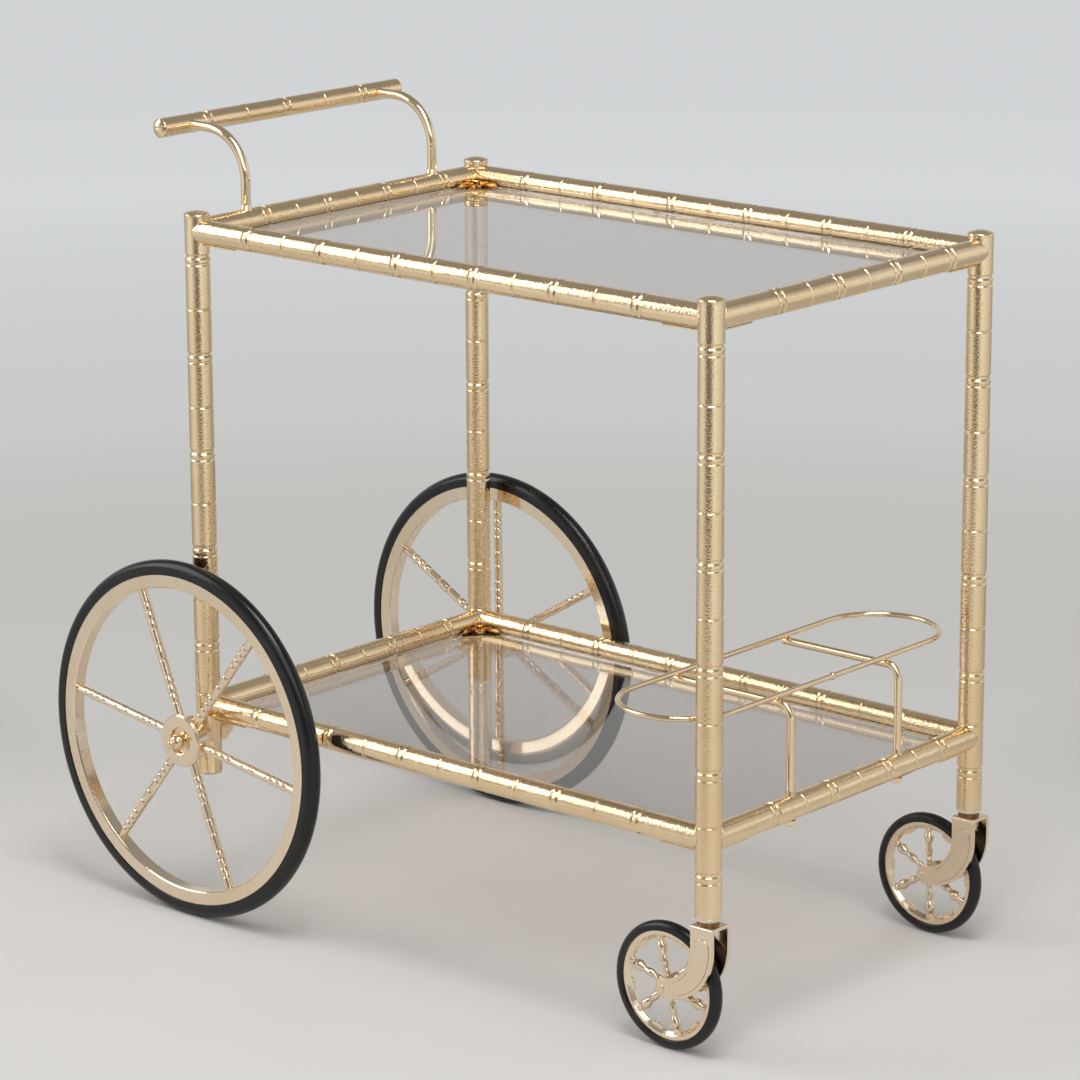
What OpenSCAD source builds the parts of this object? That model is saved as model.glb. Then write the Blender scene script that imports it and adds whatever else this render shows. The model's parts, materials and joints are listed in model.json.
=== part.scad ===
// Dessert trolley of gilt bamboo-pattern tube: two smoked glass shelves, a push handle,
// a bottle ring, two large spoked wheels at the rear and two swivel casters in front.
// +X is the way it is pushed, +Y is its left, +Z is up. The origin lies on the floor,
// in the middle of the outline. "Outboard" is measured from a leg's axis, away from the frame.

/* [Frame] */
// Distance between the leg axes along the trolley
frame_length = 592; // [500:1:760]
// Distance between the leg axes across the trolley
frame_width = 374; // [330:1:480]
// Height of the tops of the leg caps above the floor
frame_height = 657; // [600:1:780]
// Height of the lower rails' axes above the rear wheels' axis
lower_rail_rise = 26.5; // [24:0.5:60]
// Depth of the upper rails' axes below the tops of the leg caps
upper_rail_drop = 18.5; // [17:0.5:30]
// Outer diameter of a leg tube
leg_d = 23; // [21:0.5:26]
// Outer diameter of a rail tube
rail_d = 22; // [18:0.5:22.5]
// Wall of the leg and rail tubes
tube_wall = 1.5; // [1:0.1:2.5]
// Gap of the soldered seam where one tube is coped onto another
seam = 0.1; // [0.05:0.05:0.3]
// Height of a leg cap above its tube
cap_height = 5; // [4:0.5:8]
// How far a leg cap's edge stands out past its tube
cap_lip = 0.4; // [0.2:0.1:1]
// How far a rear leg reaches below the wheel axle
rear_leg_drop = 36.5; // [30:0.5:45]
// Thickness of the flange of a rear leg's end plug
plug_flange = 1.6; // [1:0.1:3]

/* [Bamboo rings] */
// Spacing of the ring groups on the legs and the long rails
ring_pitch = 90; // [70:1:120]
// Spacing of the ring groups on the short rails
short_ring_pitch = 79.5; // [70:0.5:90]
// How far the short rails' ring groups are shifted towards the left
short_ring_shift = 12; // [0:1:14]
// Spacing of the ring groups on the handle bar
handle_ring_pitch = 103; // [80:1:110]
// Depth of the first ring group below a leg cap's top
first_ring_drop = 44; // [40:1:50]
// Length of a ring group along its tube
ring_group_width = 11; // [8:0.5:16]
// Depth of the waist in a ring group
ring_depth = 1.1; // [0.6:0.1:1.3]
// Width of a single ring line
ring_line_width = 2.4; // [1.5:0.1:4]
// Depth of a single ring line
ring_line_depth = 0.6; // [0.3:0.1:1]

/* [Shelves] */
// Thickness of the glass panes
glass_thickness = 5; // [4:0.5:8]
// Gap between a pane's edge and the rails
glass_gap = 0.5; // [0.3:0.1:2]
// How much of each corner is cut off a pane
glass_corner = 20; // [16:1:24]
// Length of a corner plate along each rail
plate_leg = 50; // [46:1:60]
// Thickness of a corner plate
plate_thickness = 1.2; // [1:0.1:2]
// How far a corner plate reaches outward past the rails' axes
plate_margin = 3; // [2:0.5:4]

/* [Handle] */
// Length of the handle bar past the middle of each of its rods
handle_overhang = 36; // [20:0.5:40]
// Diameter of the handle bar
handle_d = 18; // [16:0.5:24]
// Wall of the handle bar
handle_wall = 1.2; // [1:0.1:2]
// Height of the bar's axis above the upper rails' axes
handle_rise = 81; // [75:1:110]
// Distance of the bar's axis behind the rear leg axes
handle_reach = 76.5; // [70:0.5:110]
// Diameter of the two rods that carry the bar
handle_rod_d = 9; // [8:0.5:10]
// Gap along the rear rail between a corner plate and the nut of a handle rod
handle_rod_gap = 7.3; // [1:0.1:12]
// Radius of the bend in those rods
handle_bend = 45; // [30:1:50]
// Thickness of a bar end cap outside the tube
handle_cap = 4; // [3:0.5:6]

/* [Bottle ring] */
// Length of the bottle ring between the wire's middles
bottle_ring_length = 386; // [340:1:390]
// Width of the bottle ring between the wire's middles
bottle_ring_width = 108.8; // [90:0.2:115]
// Diameter of the ring's wire
ring_wire_d = 5; // [4:0.5:6]
// Height of the ring's wire above the lower rails' axes
bottle_ring_rise = 96.5; // [80:0.5:130]
// Gap between the front rail's axis and the ring's nearer wire
bottle_ring_setback = 14.3; // [13:0.1:24]
// Diameter of the two posts and their arms
post_d = 7; // [6:0.5:8]
// Distance between the posts
post_spacing = 153; // [140:1:170]
// Radius of the bend in the posts
post_bend = 12; // [8:1:12]
// How far the foot of a post or a handle rod flares out where it meets the rail
foot_flare = 2; // [1:0.1:2.5]
// Length of an arm past the ring's far wire
arm_overhang = 3; // [2:0.5:8]

/* [Fasteners] */
// Diameter of the threaded ends of the handle rods and posts
stud_d = 5; // [4:0.5:6]
// Clearance all round those ends in the rails
stud_clearance = 0.2; // [0.1:0.1:0.5]
// Width across the flats of their nuts
nut_flats = 9; // [8:0.5:11]
// Height of those nuts
nut_height = 4; // [3:0.5:6]
// Length of a threaded end past its nut
stud_end = 1.5; // [0.5:0.5:4]
// Clearance of a nut or a washer round its thread
thread_clearance = 0.1; // [0.05:0.05:0.3]

/* [Rear wheels] */
// Outer diameter of a rear wheel over its tyre
wheel_d = 337; // [326:1:350]
// Distance of a rear wheel's middle outboard of its leg's axis
wheel_outboard = 29.5; // [29.5:0.5:34]
// Width of a rear tyre
tyre_width = 16; // [14:0.5:18]
// Height of the rubber that stands out past the rim
tyre_height = 13; // [11:0.5:18]
// Width of a rear rim
rim_width = 14; // [12:0.5:14.5]
// Height of a rear rim's side face
rim_height = 12.5; // [8:0.5:14]
// Wall of a rear rim
rim_wall = 2.4; // [1.5:0.1:3]
// Number of spokes in a wheel
spoke_count = 6; // [5:1:8]
// Radius of the plain stretches of a rear spoke
spoke_r = 4.2; // [3.5:0.1:4.5]
// Width of one turned bead of a rear spoke
spoke_bead = 8.3; // [7:0.1:9]
// Width of the grooves beside the beads
spoke_groove_width = 2.4; // [1.5:0.1:3]
// Depth of those grooves
spoke_groove_depth = 1; // [0.5:0.1:1.5]
// Radius of the spigots at a spoke's ends
spigot_r = 2.2; // [1.5:0.1:2.5]
// Turn of the right rear wheel's spokes at rest, in degrees
right_spoke_turn = 51.5; // [0:0.5:60]
// Turn of the left rear wheel's spokes at rest, in degrees
left_spoke_turn = 30.5; // [0:0.5:60]
// Diameter of the hub's flange
hub_flange_d = 48.6; // [44:0.2:56]
// Diameter of the hub's drum
hub_drum_d = 42; // [38:0.5:43]
// Length of a rear hub
hub_length = 20; // [19:0.5:22]
// Radius of the axle where the hub turns on it
journal_r = 6; // [5.5:0.1:6.5]
// Running clearance all round a turning part
running_clearance = 0.06; // [0.02:0.01:0.1]
// Gap beside a part that turns
side_gap = 0.3; // [0.2:0.05:0.5]

/* [Casters] */
// Outer diameter of a caster wheel over its tyre
caster_d = 113; // [106:1:118]
// Distance of a caster's pin behind its swivel axis
caster_trail = 42; // [40:0.5:48]
// Height of the fork's top above the pin
fork_rise = 64.5; // [62:0.5:72]
// Outer width of the fork
fork_width = 24; // [23:0.5:28]
// Thickness of the fork's walls
fork_wall = 3; // [2:0.1:3.5]
// Distance of a fork cheek's front edge ahead of the swivel axis
cheek_front = 13.7; // [12:0.1:14]
// Width of the upright part of a cheek
cheek_width = 23.4; // [22:0.2:25]
// Radius of a cheek's inner curve
cheek_inner_bend = 32.6; // [30:0.2:34]
// Radius of a cheek's outer curve
cheek_outer_bend = 50.5; // [49:0.5:53]
// How far a cheek reaches below the pin
cheek_drop = 7.4; // [7:0.2:9]
// Height of the raised panel on a cheek
panel_height = 0.8; // [0.4:0.1:1.2]
// Distance of the raised panel from a cheek's edges
panel_inset = 3.6; // [2.5:0.1:4.5]
// Width of a caster tyre
caster_tyre_width = 12; // [10:0.5:13]
// Height of the rubber outside a caster rim
caster_tyre_height = 8; // [6.5:0.5:10]
// Width of a caster rim
caster_rim_width = 8; // [7.5:0.5:9.5]
// Height of a caster rim's side face
caster_rim_height = 7; // [6:0.5:9]
// Largest radius of a caster wheel's spoke
caster_spoke_r = 4.8; // [4:0.1:5]
// Radius of a caster's swivel stem
stem_r = 5.5; // [5:0.1:6]
// Length of a swivel stem inside the leg
stem_length = 40; // [30:1:60]
// Radius of a caster wheel's pin
pin_r = 2.5; // [2:0.1:3]
// Thickness of the bearing ring on top of the fork
bearing_height = 3.7; // [2.5:0.1:5]
// Thickness of the plastic socket's flange under the leg
socket_flange = 3; // [2:0.5:5]
// Turn of the right caster wheel's spokes at rest, in degrees
right_caster_turn = 43; // [0:1:60]
// Turn of the left caster wheel's spokes at rest, in degrees
left_caster_turn = 32; // [0:1:60]

/* [Hidden] */
$fn = 96;
GOLD = [0.80, 0.68, 0.46];
BRIGHT_GOLD = [0.88, 0.76, 0.52];
BRONZE = [0.36, 0.23, 0.12];
RUBBER = [0.07, 0.07, 0.08];
SMOKE = [0.35, 0.33, 0.33, 0.6];
CREAM = [0.90, 0.88, 0.80];
EPS = 0.01;
FRONT = 1;
REAR = -1;
LEFT = 1;
RIGHT = -1;

leg_r = leg_d / 2;
rail_r = rail_d / 2;
handle_r = handle_d / 2;
wheel_r = wheel_d / 2;
caster_r = caster_d / 2;
lower_rail_height = wheel_r + lower_rail_rise;
upper_rail_height = frame_height - upper_rail_drop;
ring_margin = 16;
rail_ring_margin = 50;

// Outlines of the rings: shares of the ring's width and of its depth, from one side to the other
group_shape = [[-0.50, 0], [-0.38, 0.55], [-0.27, 0.55], [-0.21, 0], [0.05, 0], [0.19, 1],
               [0.42, 1], [0.50, 0]];
line_shape = [[-0.5, 0], [-0.2, 1], [0.2, 1], [0.5, 0]];

// The wheels and the casters set how far the outline reaches past the leg axes
caster_front = max(caster_r - caster_trail, cheek_front, leg_r + cap_lip);
outline_shift = (wheel_r - caster_front) / 2;
leg_x = frame_length / 2;
leg_y = frame_width / 2;

// Caster heights, from the floor up
pin_z = caster_r;
crown_z = pin_z + fork_rise;
socket_z = crown_z + bearing_height + side_gap;
front_leg_bottom = socket_z + socket_flange;
rear_leg_bottom = wheel_r - rear_leg_drop;
leg_top = frame_height - cap_height;
leg_bore_r = leg_r - tube_wall;
press_gap = 0.05;

// Handle and bottle ring
rod_seat = rail_r + seam;
nut_r = nut_flats / 2 / cos(30);
handle_rod_spacing = frame_width - 2 * (plate_leg + handle_rod_gap + nut_r);
handle_length = handle_rod_spacing + 2 * handle_overhang;
handle_z = upper_rail_height + handle_rise;
bottle_ring_z = lower_rail_height + bottle_ring_rise;
near_wire_x = leg_x - bottle_ring_setback;
far_wire_x = near_wire_x - bottle_ring_width;
arm_z = bottle_ring_z - ring_wire_d / 2 - post_d / 2;

// Rear axle, outboard distances from the leg's axis
hub_in = wheel_outboard - 11.2;
hub_out = hub_in + hub_length;
hub_dish_r = 12.5;
hub_dish = 4;
hub_floor = hub_out - hub_dish;
collar_shoulder = hub_in - side_gap - 4.6;
thread_r = 4;
hub_washer = 1.2;
hub_washer_r = 9.5;
washer_seat = hub_floor + side_gap;
nut_seat = washer_seat + hub_washer;
finial_length = 17;
saddle_out = leg_r + 3.8;

// Rims and tyres
rim_out_r = wheel_r - tyre_height;
rim_in_r = rim_out_r - rim_height;
caster_rim_out_r = caster_r - caster_tyre_height;
caster_rim_in_r = caster_rim_out_r - caster_rim_height;
caster_rim_wall = 2.4;
caster_hub_r = 8.5;
fork_gap = fork_width / 2 - fork_wall;

// ---- Bamboo-pattern tube ----

// Points of one ring at height z on a tube of radius r, as [radius, height]
function ring_points(r, z, shape, width, depth) =
    [for (p = shape) [r - p[1] * depth, z + p[0] * width]];

// Rings as [height, kind] from the bottom up, kind 0 being a group and 1 a single line
function hung_rings(top, pitch, group_floor, line_floor) =
    let (last = floor((top - min(group_floor, line_floor)) / (pitch / 2)))
    [for (i = [last : -1 : 0])
        let (z = top - i * pitch / 2)
        if (z > (i % 2 == 0 ? group_floor : line_floor)) [z, i % 2]];

// Rings centred on a tube of the given length that runs from -length/2 to length/2
function centred_rings(length, pitch, shift) =
    let (groups = floor((length - 2 * rail_ring_margin) / pitch) + 1)
    [for (i = [0 : 2 * groups - 2]) [(i - groups + 1) * pitch / 2 + shift, i % 2]];

module bamboo_tube(r, wall, bottom, top, rings) {
    outer = [for (ring = rings)
        each ring[1] == 0
            ? ring_points(r, ring[0], group_shape, ring_group_width, ring_depth)
            : ring_points(r, ring[0], line_shape, ring_line_width, ring_line_depth)];
    rotate_extrude()
        polygon(concat([[r - wall, bottom], [r, bottom]], outer, [[r, top], [r - wall, top]]));
}

// ---- Placing helpers ----

module whole() {
    translate([outline_shift, 0, 0]) children();
}

module at_leg(end, side) {
    whole() translate([end * leg_x, side * leg_y, 0]) children();
}

// Local +Z becomes the outboard direction, local X stays X and local Y points up
module at_axle(side) {
    at_leg(REAR, side) translate([0, 0, wheel_r])
        mirror([0, side == LEFT ? 1 : 0, 0]) rotate([90, 0, 0]) children();
}

module at_caster(side) {
    at_leg(FRONT, side) children();
}

module at_pin(side) {
    at_caster(side) translate([-caster_trail, 0, pin_z]) rotate([90, 0, 0]) children();
}

// ---- Legs ----

module leg(bottom, group_floor) {
    bamboo_tube(leg_r, tube_wall, bottom, leg_top,
                hung_rings(frame_height - first_ring_drop, ring_pitch,
                           group_floor, bottom + ring_margin));
}

module front_leg(side) {
    at_leg(FRONT, side) leg(front_leg_bottom, front_leg_bottom + ring_margin);
}

module rear_leg(side) {
    difference() {
        at_leg(REAR, side) leg(rear_leg_bottom, lower_rail_height + ring_margin);
        at_axle(side) cylinder(r = thread_r + thread_clearance, h = 4 * leg_r, center = true);
    }
}

// A domed cap with a rounded shoulder and a spigot that fits inside the leg
module leg_cap() {
    cap_r = leg_r + cap_lip;
    dome_rise = 0.4 * cap_height;
    shoulder = 0.35 * cap_height;
    spigot = 9;
    shoulder_z = frame_height - dome_rise - shoulder;
    rotate_extrude() polygon(concat(
        [[0, leg_top - spigot], [leg_bore_r - press_gap, leg_top - spigot],
         [leg_bore_r - press_gap, leg_top], [cap_r, leg_top]],
        [for (a = [0 : 15 : 75])
            [cap_r - shoulder * (1 - cos(a)), shoulder_z + shoulder * sin(a)]],
        [for (t = [1 : -0.2 : 0])
            [t * (cap_r - shoulder), frame_height - dome_rise * t * t]]));
}

module leg_caps() {
    color(GOLD) for (end = [FRONT, REAR], side = [LEFT, RIGHT]) at_leg(end, side) leg_cap();
}

module rear_leg_plugs() {
    spigot = 10;
    color(CREAM) for (side = [LEFT, RIGHT]) at_leg(REAR, side)
        translate([0, 0, rear_leg_bottom - plug_flange]) {
            cylinder(r = leg_r - 0.3, h = plug_flange);
            cylinder(r = leg_bore_r - press_gap, h = plug_flange + spigot);
        }
}

// ---- Rails ----

// What the legs and the crossing rails take off a rail's ends. Rails are mitred inside a corner.
module end_cutters(along_x) {
    reach = 2 * leg_r;
    half_seam = seam / sqrt(2);
    wedge = [[0, -half_seam], [reach, reach - half_seam], [0, reach - half_seam]];
    for (end = [FRONT, REAR], side = [LEFT, RIGHT])
        translate([end * leg_x, side * leg_y, -2 * rail_d]) {
            cylinder(r = leg_r + seam, h = 4 * rail_d);
            mirror([end == FRONT ? 1 : 0, 0, 0]) mirror([0, side == LEFT ? 1 : 0, 0])
                linear_extrude(4 * rail_d)
                    polygon([for (p = wedge) along_x ? p : [p[1], p[0]]]);
        }
}

// A rail along X at the given height, coped onto the legs at both ends
module long_rail(side, height) {
    whole() translate([0, 0, height]) difference() {
        translate([0, side * leg_y, 0]) rotate([0, 90, 0])
            bamboo_tube(rail_r, tube_wall, -leg_x, leg_x,
                        centred_rings(frame_length, ring_pitch, 0));
        end_cutters(true);
    }
}

// A rail along Y, with holes for two threaded ends when hole_spacing is above 0
module short_rail(end, height, hole_spacing) {
    whole() translate([0, 0, height]) difference() {
        translate([end * leg_x, 0, 0]) rotate([-90, 0, 0])
            bamboo_tube(rail_r, tube_wall, -leg_y, leg_y,
                        centred_rings(frame_width, short_ring_pitch, short_ring_shift));
        end_cutters(false);
        if (hole_spacing > 0)
            for (side = [LEFT, RIGHT])
                translate([end * leg_x, side * hole_spacing / 2, 0])
                    cylinder(r = stud_d / 2 + stud_clearance, h = 2 * rail_d, center = true);
    }
}

module upper_right_rail() { color(GOLD) long_rail(RIGHT, upper_rail_height); }
module upper_left_rail() { color(GOLD) long_rail(LEFT, upper_rail_height); }
module upper_front_rail() { color(GOLD) short_rail(FRONT, upper_rail_height, 0); }
module upper_rear_rail() { color(GOLD) short_rail(REAR, upper_rail_height, handle_rod_spacing); }
module lower_right_rail() { color(GOLD) long_rail(RIGHT, lower_rail_height); }
module lower_left_rail() { color(GOLD) long_rail(LEFT, lower_rail_height); }
module lower_front_rail() { color(GOLD) short_rail(FRONT, lower_rail_height, post_spacing); }
module lower_rear_rail() { color(GOLD) short_rail(REAR, lower_rail_height, 0); }

// ---- Shelves ----

// Four triangular plates under the rails, which carry a pane by its cut corners
module corner_plates(height) {
    color(GOLD) for (end = [FRONT, REAR], side = [LEFT, RIGHT])
        at_leg(end, side) translate([0, 0, height - rail_r - plate_thickness])
            mirror([end == FRONT ? 1 : 0, 0, 0]) mirror([0, side == LEFT ? 1 : 0, 0])
                difference() {
                    linear_extrude(plate_thickness)
                        polygon([[-plate_margin, -plate_margin], [plate_leg, -plate_margin],
                                 [plate_leg, 0], [0, plate_leg], [-plate_margin, plate_leg]]);
                    translate([0, 0, -1]) cylinder(r = leg_r + seam, h = plate_thickness + 2);
                }
}

module pane(height) {
    x = leg_x - rail_r - glass_gap;
    y = leg_y - rail_r - glass_gap;
    c = glass_corner;
    color(SMOKE) whole() translate([0, 0, height - rail_r]) linear_extrude(glass_thickness)
        polygon([[x - c, -y], [x, c - y], [x, y - c], [x - c, y],
                 [c - x, y], [-x, y - c], [-x, c - y], [c - x, -y]]);
}

module upper_corner_plates() { corner_plates(upper_rail_height); }
module lower_corner_plates() { corner_plates(lower_rail_height); }
module upper_glass() { pane(upper_rail_height); }
module lower_glass() { pane(lower_rail_height); }

// ---- Bent rods with threaded ends ----

// A rod that rises from a rail's axis, bends over towards -X and ends at the given reach.
// Below, a thinner threaded end passes through the rail and its nut.
module bent_rod(d, rise, reach, bend) {
    below = rail_r + nut_height + stud_end;
    difference() {
        union() {
            cylinder(d = d, h = rise - bend);
            translate([0, 0, rail_r - 2 * foot_flare])
                cylinder(r1 = d / 2 + foot_flare, r2 = d / 2, h = 4 * foot_flare);
            translate([-bend, 0, rise - bend]) rotate([90, 0, 0])
                rotate_extrude(angle = 90) translate([bend, 0]) circle(d = d);
            translate([-bend, 0, rise]) rotate([0, -90, 0]) cylinder(d = d, h = reach - bend);
        }
        rotate([90, 0, 0]) cylinder(r = rod_seat, h = 4 * d, center = true);
    }
    translate([0, 0, -below]) cylinder(d = stud_d, h = below + rail_r + d);
}

module hex_nut() {
    difference() {
        cylinder(r = nut_r, h = nut_height, $fn = 6);
        translate([0, 0, -1]) cylinder(d = stud_d + 2 * thread_clearance, h = nut_height + 2);
    }
}

// Nuts against the underside of a short rail
module rail_nuts(end, height, spacing) {
    color(BRIGHT_GOLD) for (side = [LEFT, RIGHT])
        whole() translate([end * leg_x, side * spacing / 2, height - rail_r - nut_height])
            hex_nut();
}

// ---- Handle ----

module at_handle() {
    whole() translate([-leg_x - handle_reach, 0, handle_z]) children();
}

module handle_bar() {
    tube = handle_length - 2 * handle_cap;
    color(GOLD) at_handle() rotate([-90, 0, 0])
        bamboo_tube(handle_r, handle_wall, -tube / 2, tube / 2,
                    centred_rings(handle_length, handle_ring_pitch, 0));
}

module handle_end_cap() {
    dome_r = 1.3 * handle_r;
    spigot = 8;
    rotate_extrude() {
        intersection() {
            translate([0, handle_length / 2 - handle_cap]) square([handle_r, handle_cap]);
            translate([0, handle_length / 2 - dome_r]) circle(dome_r);
        }
        translate([0, handle_length / 2 - handle_cap - spigot])
            square([handle_r - handle_wall - press_gap, spigot + EPS]);
    }
}

module handle_end_caps() {
    color(BRIGHT_GOLD) for (side = [LEFT, RIGHT])
        at_handle() rotate([-side * 90, 0, 0]) handle_end_cap();
}

module handle_rod(side) {
    color(BRIGHT_GOLD) difference() {
        whole() translate([-leg_x, side * handle_rod_spacing / 2, upper_rail_height])
            bent_rod(handle_rod_d, handle_rise, handle_reach, handle_bend);
        at_handle() rotate([90, 0, 0])
            cylinder(r = handle_r + seam, h = handle_length, center = true);
    }
}

module right_handle_rod() { handle_rod(RIGHT); }
module left_handle_rod() { handle_rod(LEFT); }
module handle_rod_nuts() { rail_nuts(REAR, upper_rail_height, handle_rod_spacing); }

// ---- Bottle ring ----

module bottle_ring() {
    wire_r = ring_wire_d / 2;
    half_width = bottle_ring_width / 2;
    straight = bottle_ring_length - bottle_ring_width;
    weld_r = 0.68 * ring_wire_d;
    color(BRIGHT_GOLD) whole()
        translate([(near_wire_x + far_wire_x) / 2, 0, bottle_ring_z]) {
            for (end = [FRONT, REAR])
                translate([end * half_width, straight / 2, 0]) rotate([90, 0, 0])
                    cylinder(r = wire_r, h = straight);
            for (side = [LEFT, RIGHT])
                translate([0, side * straight / 2, 0]) rotate([0, 0, side == LEFT ? 0 : 180])
                    rotate_extrude(angle = 180) translate([half_width, 0]) circle(r = wire_r);
            // The butt weld that closes the wire
            translate([half_width, 0, 0]) sphere(r = weld_r);
        }
}

module ring_post(side) {
    color(BRIGHT_GOLD) whole()
        translate([leg_x, side * post_spacing / 2, lower_rail_height])
            bent_rod(post_d, arm_z - lower_rail_height,
                     leg_x - far_wire_x + arm_overhang, post_bend);
}

module right_ring_post() { ring_post(RIGHT); }
module left_ring_post() { ring_post(LEFT); }
module ring_post_nuts() { rail_nuts(FRONT, lower_rail_height, post_spacing); }

// ---- Rear axles ----

// A shoulder bolt through the leg: the wide journal carries the hub, and both ends are threaded
module stub_axle(side) {
    inner_end = saddle_out + 9;
    outer_end = nut_seat + 9;
    color(GOLD) at_axle(side) {
        translate([0, 0, -inner_end]) cylinder(r = thread_r, h = inner_end + outer_end);
        translate([0, 0, collar_shoulder])
            cylinder(r = journal_r, h = washer_seat - collar_shoulder);
    }
}

module right_stub_axle() { stub_axle(RIGHT); }
module left_stub_axle() { stub_axle(LEFT); }

// The stepped spacer between the leg and the hub, coped onto the leg
module axle_collar() {
    neck_r = 10.5;
    flange_r = 14.5;
    flange = 3.2;
    out = hub_in - side_gap;
    difference() {
        rotate_extrude() polygon([
            [thread_r + thread_clearance, leg_r / 2], [neck_r, leg_r / 2],
            [neck_r, out - flange - 1], [flange_r - 1, out - flange], [flange_r, out - flange + 1],
            [flange_r, out - 1], [flange_r - 1, out], [journal_r + press_gap, out],
            [journal_r + press_gap, collar_shoulder],
            [thread_r + thread_clearance, collar_shoulder]]);
        rotate([90, 0, 0]) cylinder(r = leg_r + press_gap, h = 4 * flange_r, center = true);
    }
}

module axle_collars() {
    color(GOLD) for (side = [LEFT, RIGHT]) at_axle(side) axle_collar();
}

// A washer inside the leg, coped onto it
module axle_saddle_washers() {
    washer_r = 11.5;
    color(GOLD) for (side = [LEFT, RIGHT]) at_axle(side) difference() {
        translate([0, 0, -saddle_out]) cylinder(r = washer_r, h = saddle_out - leg_r / 2);
        translate([0, 0, -saddle_out - 1])
            cylinder(r = thread_r + thread_clearance, h = saddle_out + 2);
        rotate([90, 0, 0]) cylinder(r = leg_r + press_gap, h = 4 * washer_r, center = true);
    }
}

// A round stepped nut with a domed closed end
module axle_inner_nuts() {
    body_r = 8.5;
    body = 5;
    dome_r = 6;
    dome_base = 8;
    bore_depth = 9.5;
    color(GOLD) for (side = [LEFT, RIGHT]) at_axle(side)
        rotate([180, 0, 0]) translate([0, 0, saddle_out]) difference() {
            union() {
                cylinder(r = body_r, h = body);
                cylinder(r = dome_r, h = dome_base);
                translate([0, 0, dome_base]) sphere(r = dome_r);
            }
            translate([0, 0, -1]) cylinder(r = thread_r + thread_clearance, h = bore_depth + 1);
        }
}

module hub_washers() {
    color(GOLD) for (side = [LEFT, RIGHT]) at_axle(side) translate([0, 0, washer_seat])
        difference() {
            cylinder(r = hub_washer_r, h = hub_washer);
            translate([0, 0, -1]) cylinder(r = thread_r + thread_clearance, h = hub_washer + 2);
        }
}

// The turned finial nut that holds the wheel on: a bulb, a neck and a ball
module hub_nuts() {
    foot_r = 6.5;
    foot = 3;
    bulb_r = 7.4;
    bulb_z = 5;
    neck_r = 3;
    ball_r = 3.8;
    bore_depth = 9.5;
    color(BRIGHT_GOLD) for (side = [LEFT, RIGHT]) at_axle(side) translate([0, 0, nut_seat])
        difference() {
            union() {
                cylinder(r = foot_r, h = foot);
                translate([0, 0, bulb_z]) sphere(r = bulb_r);
                cylinder(r = neck_r, h = finial_length - ball_r);
                translate([0, 0, finial_length - ball_r]) sphere(r = ball_r);
            }
            translate([0, 0, -finial_length]) cylinder(r = 2 * bulb_r, h = finial_length);
            translate([0, 0, -1]) cylinder(r = thread_r + thread_clearance, h = bore_depth + 1);
        }
}

// ---- Wheels ----

// A solid tyre: a round tread, and a tongue that fills the rim's channel
module tyre(outer_r, seat_r, width, tongue_r, tongue_width) {
    tread_r = outer_r - width / 2;
    rotate_extrude() {
        intersection() {
            translate([tread_r, 0]) circle(r = width / 2);
            translate([seat_r, -width / 2]) square([outer_r - seat_r, width]);
        }
        if (tread_r > seat_r)
            translate([seat_r, -width / 2]) square([tread_r - seat_r, width]);
        translate([tongue_r, -tongue_width / 2])
            square([seat_r - tongue_r + EPS, tongue_width]);
    }
}

// Outline of a rim: a channel that opens outward. Its inner side is bevelled by rise over run.
module rim_profile(in_r, out_r, width, wall, rise, run) {
    half = width / 2;
    polygon([[in_r, run - half], [in_r + rise, -half], [out_r, -half], [out_r, wall - half],
             [in_r + wall, wall - half], [in_r + wall, half - wall], [out_r, half - wall],
             [out_r, half], [in_r + rise, half], [in_r, half - run]]);
}

module rear_tyre(side) {
    color(RUBBER) at_axle(side) translate([0, 0, wheel_outboard])
        tyre(wheel_r, rim_out_r, tyre_width, rim_in_r + rim_wall + press_gap,
             rim_width - 2 * rim_wall - 2 * press_gap);
}

// Places its children along +Z at each spoke's direction
module spread(count, turn) {
    for (i = [0 : count - 1])
        rotate([0, 0, turn + i * 360 / count]) rotate([0, 90, 0]) children();
}

module rear_rim(side, turn) {
    color(GOLD) at_axle(side) translate([0, 0, wheel_outboard]) difference() {
        rotate_extrude()
            rim_profile(rim_in_r, rim_out_r, rim_width, rim_wall, rim_wall / 2, rim_wall / 2);
        spread(spoke_count, turn) translate([0, 0, rim_in_r - rim_height])
            cylinder(r = spigot_r + press_gap, h = rim_height + 2 * rim_wall);
    }
}

// The beads of a rear spoke: share of its length, number of beads, width of one bead
spoke_beads = [[0.22, 3, spoke_bead], [0.51, 1, 1.7 * spoke_bead], [0.80, 3, spoke_bead]];
bead_swell = 0.3;

// A run of beads about the distance at, between narrow grooves, as [distance, radius]
function beads(at, count, width) =
    let (start = at - count * width / 2, half = spoke_groove_width / 2)
    [for (i = [0 : count]) each [
        [start + i * width - half, spoke_r],
        [start + i * width, spoke_r - spoke_groove_depth],
        [start + i * width + half, spoke_r],
        if (i < count) [start + (i + 0.5) * width, spoke_r + bead_swell]]];

function spoke_profile(from, to) =
    concat([[from, spoke_r]],
           [for (b = spoke_beads) each beads(from + b[0] * (to - from), b[1], b[2])],
           [[to, spoke_r]]);

module turned_spoke(from, to) {
    sink = 3.5;
    rotate_extrude() polygon(concat(
        [[0, from]], [for (p = spoke_profile(from, to)) [p[1], p[0]]], [[0, to]]));
    translate([0, 0, from - sink]) cylinder(r = spigot_r, h = sink + EPS);
    translate([0, 0, to - EPS]) cylinder(r = spigot_r, h = rim_wall + EPS - 0.1);
}

module rear_spokes(side, turn) {
    color(BRIGHT_GOLD) at_axle(side) translate([0, 0, wheel_outboard])
        spread(spoke_count, turn) turned_spoke(hub_drum_d / 2 + press_gap, rim_in_r - press_gap);
}

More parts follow.
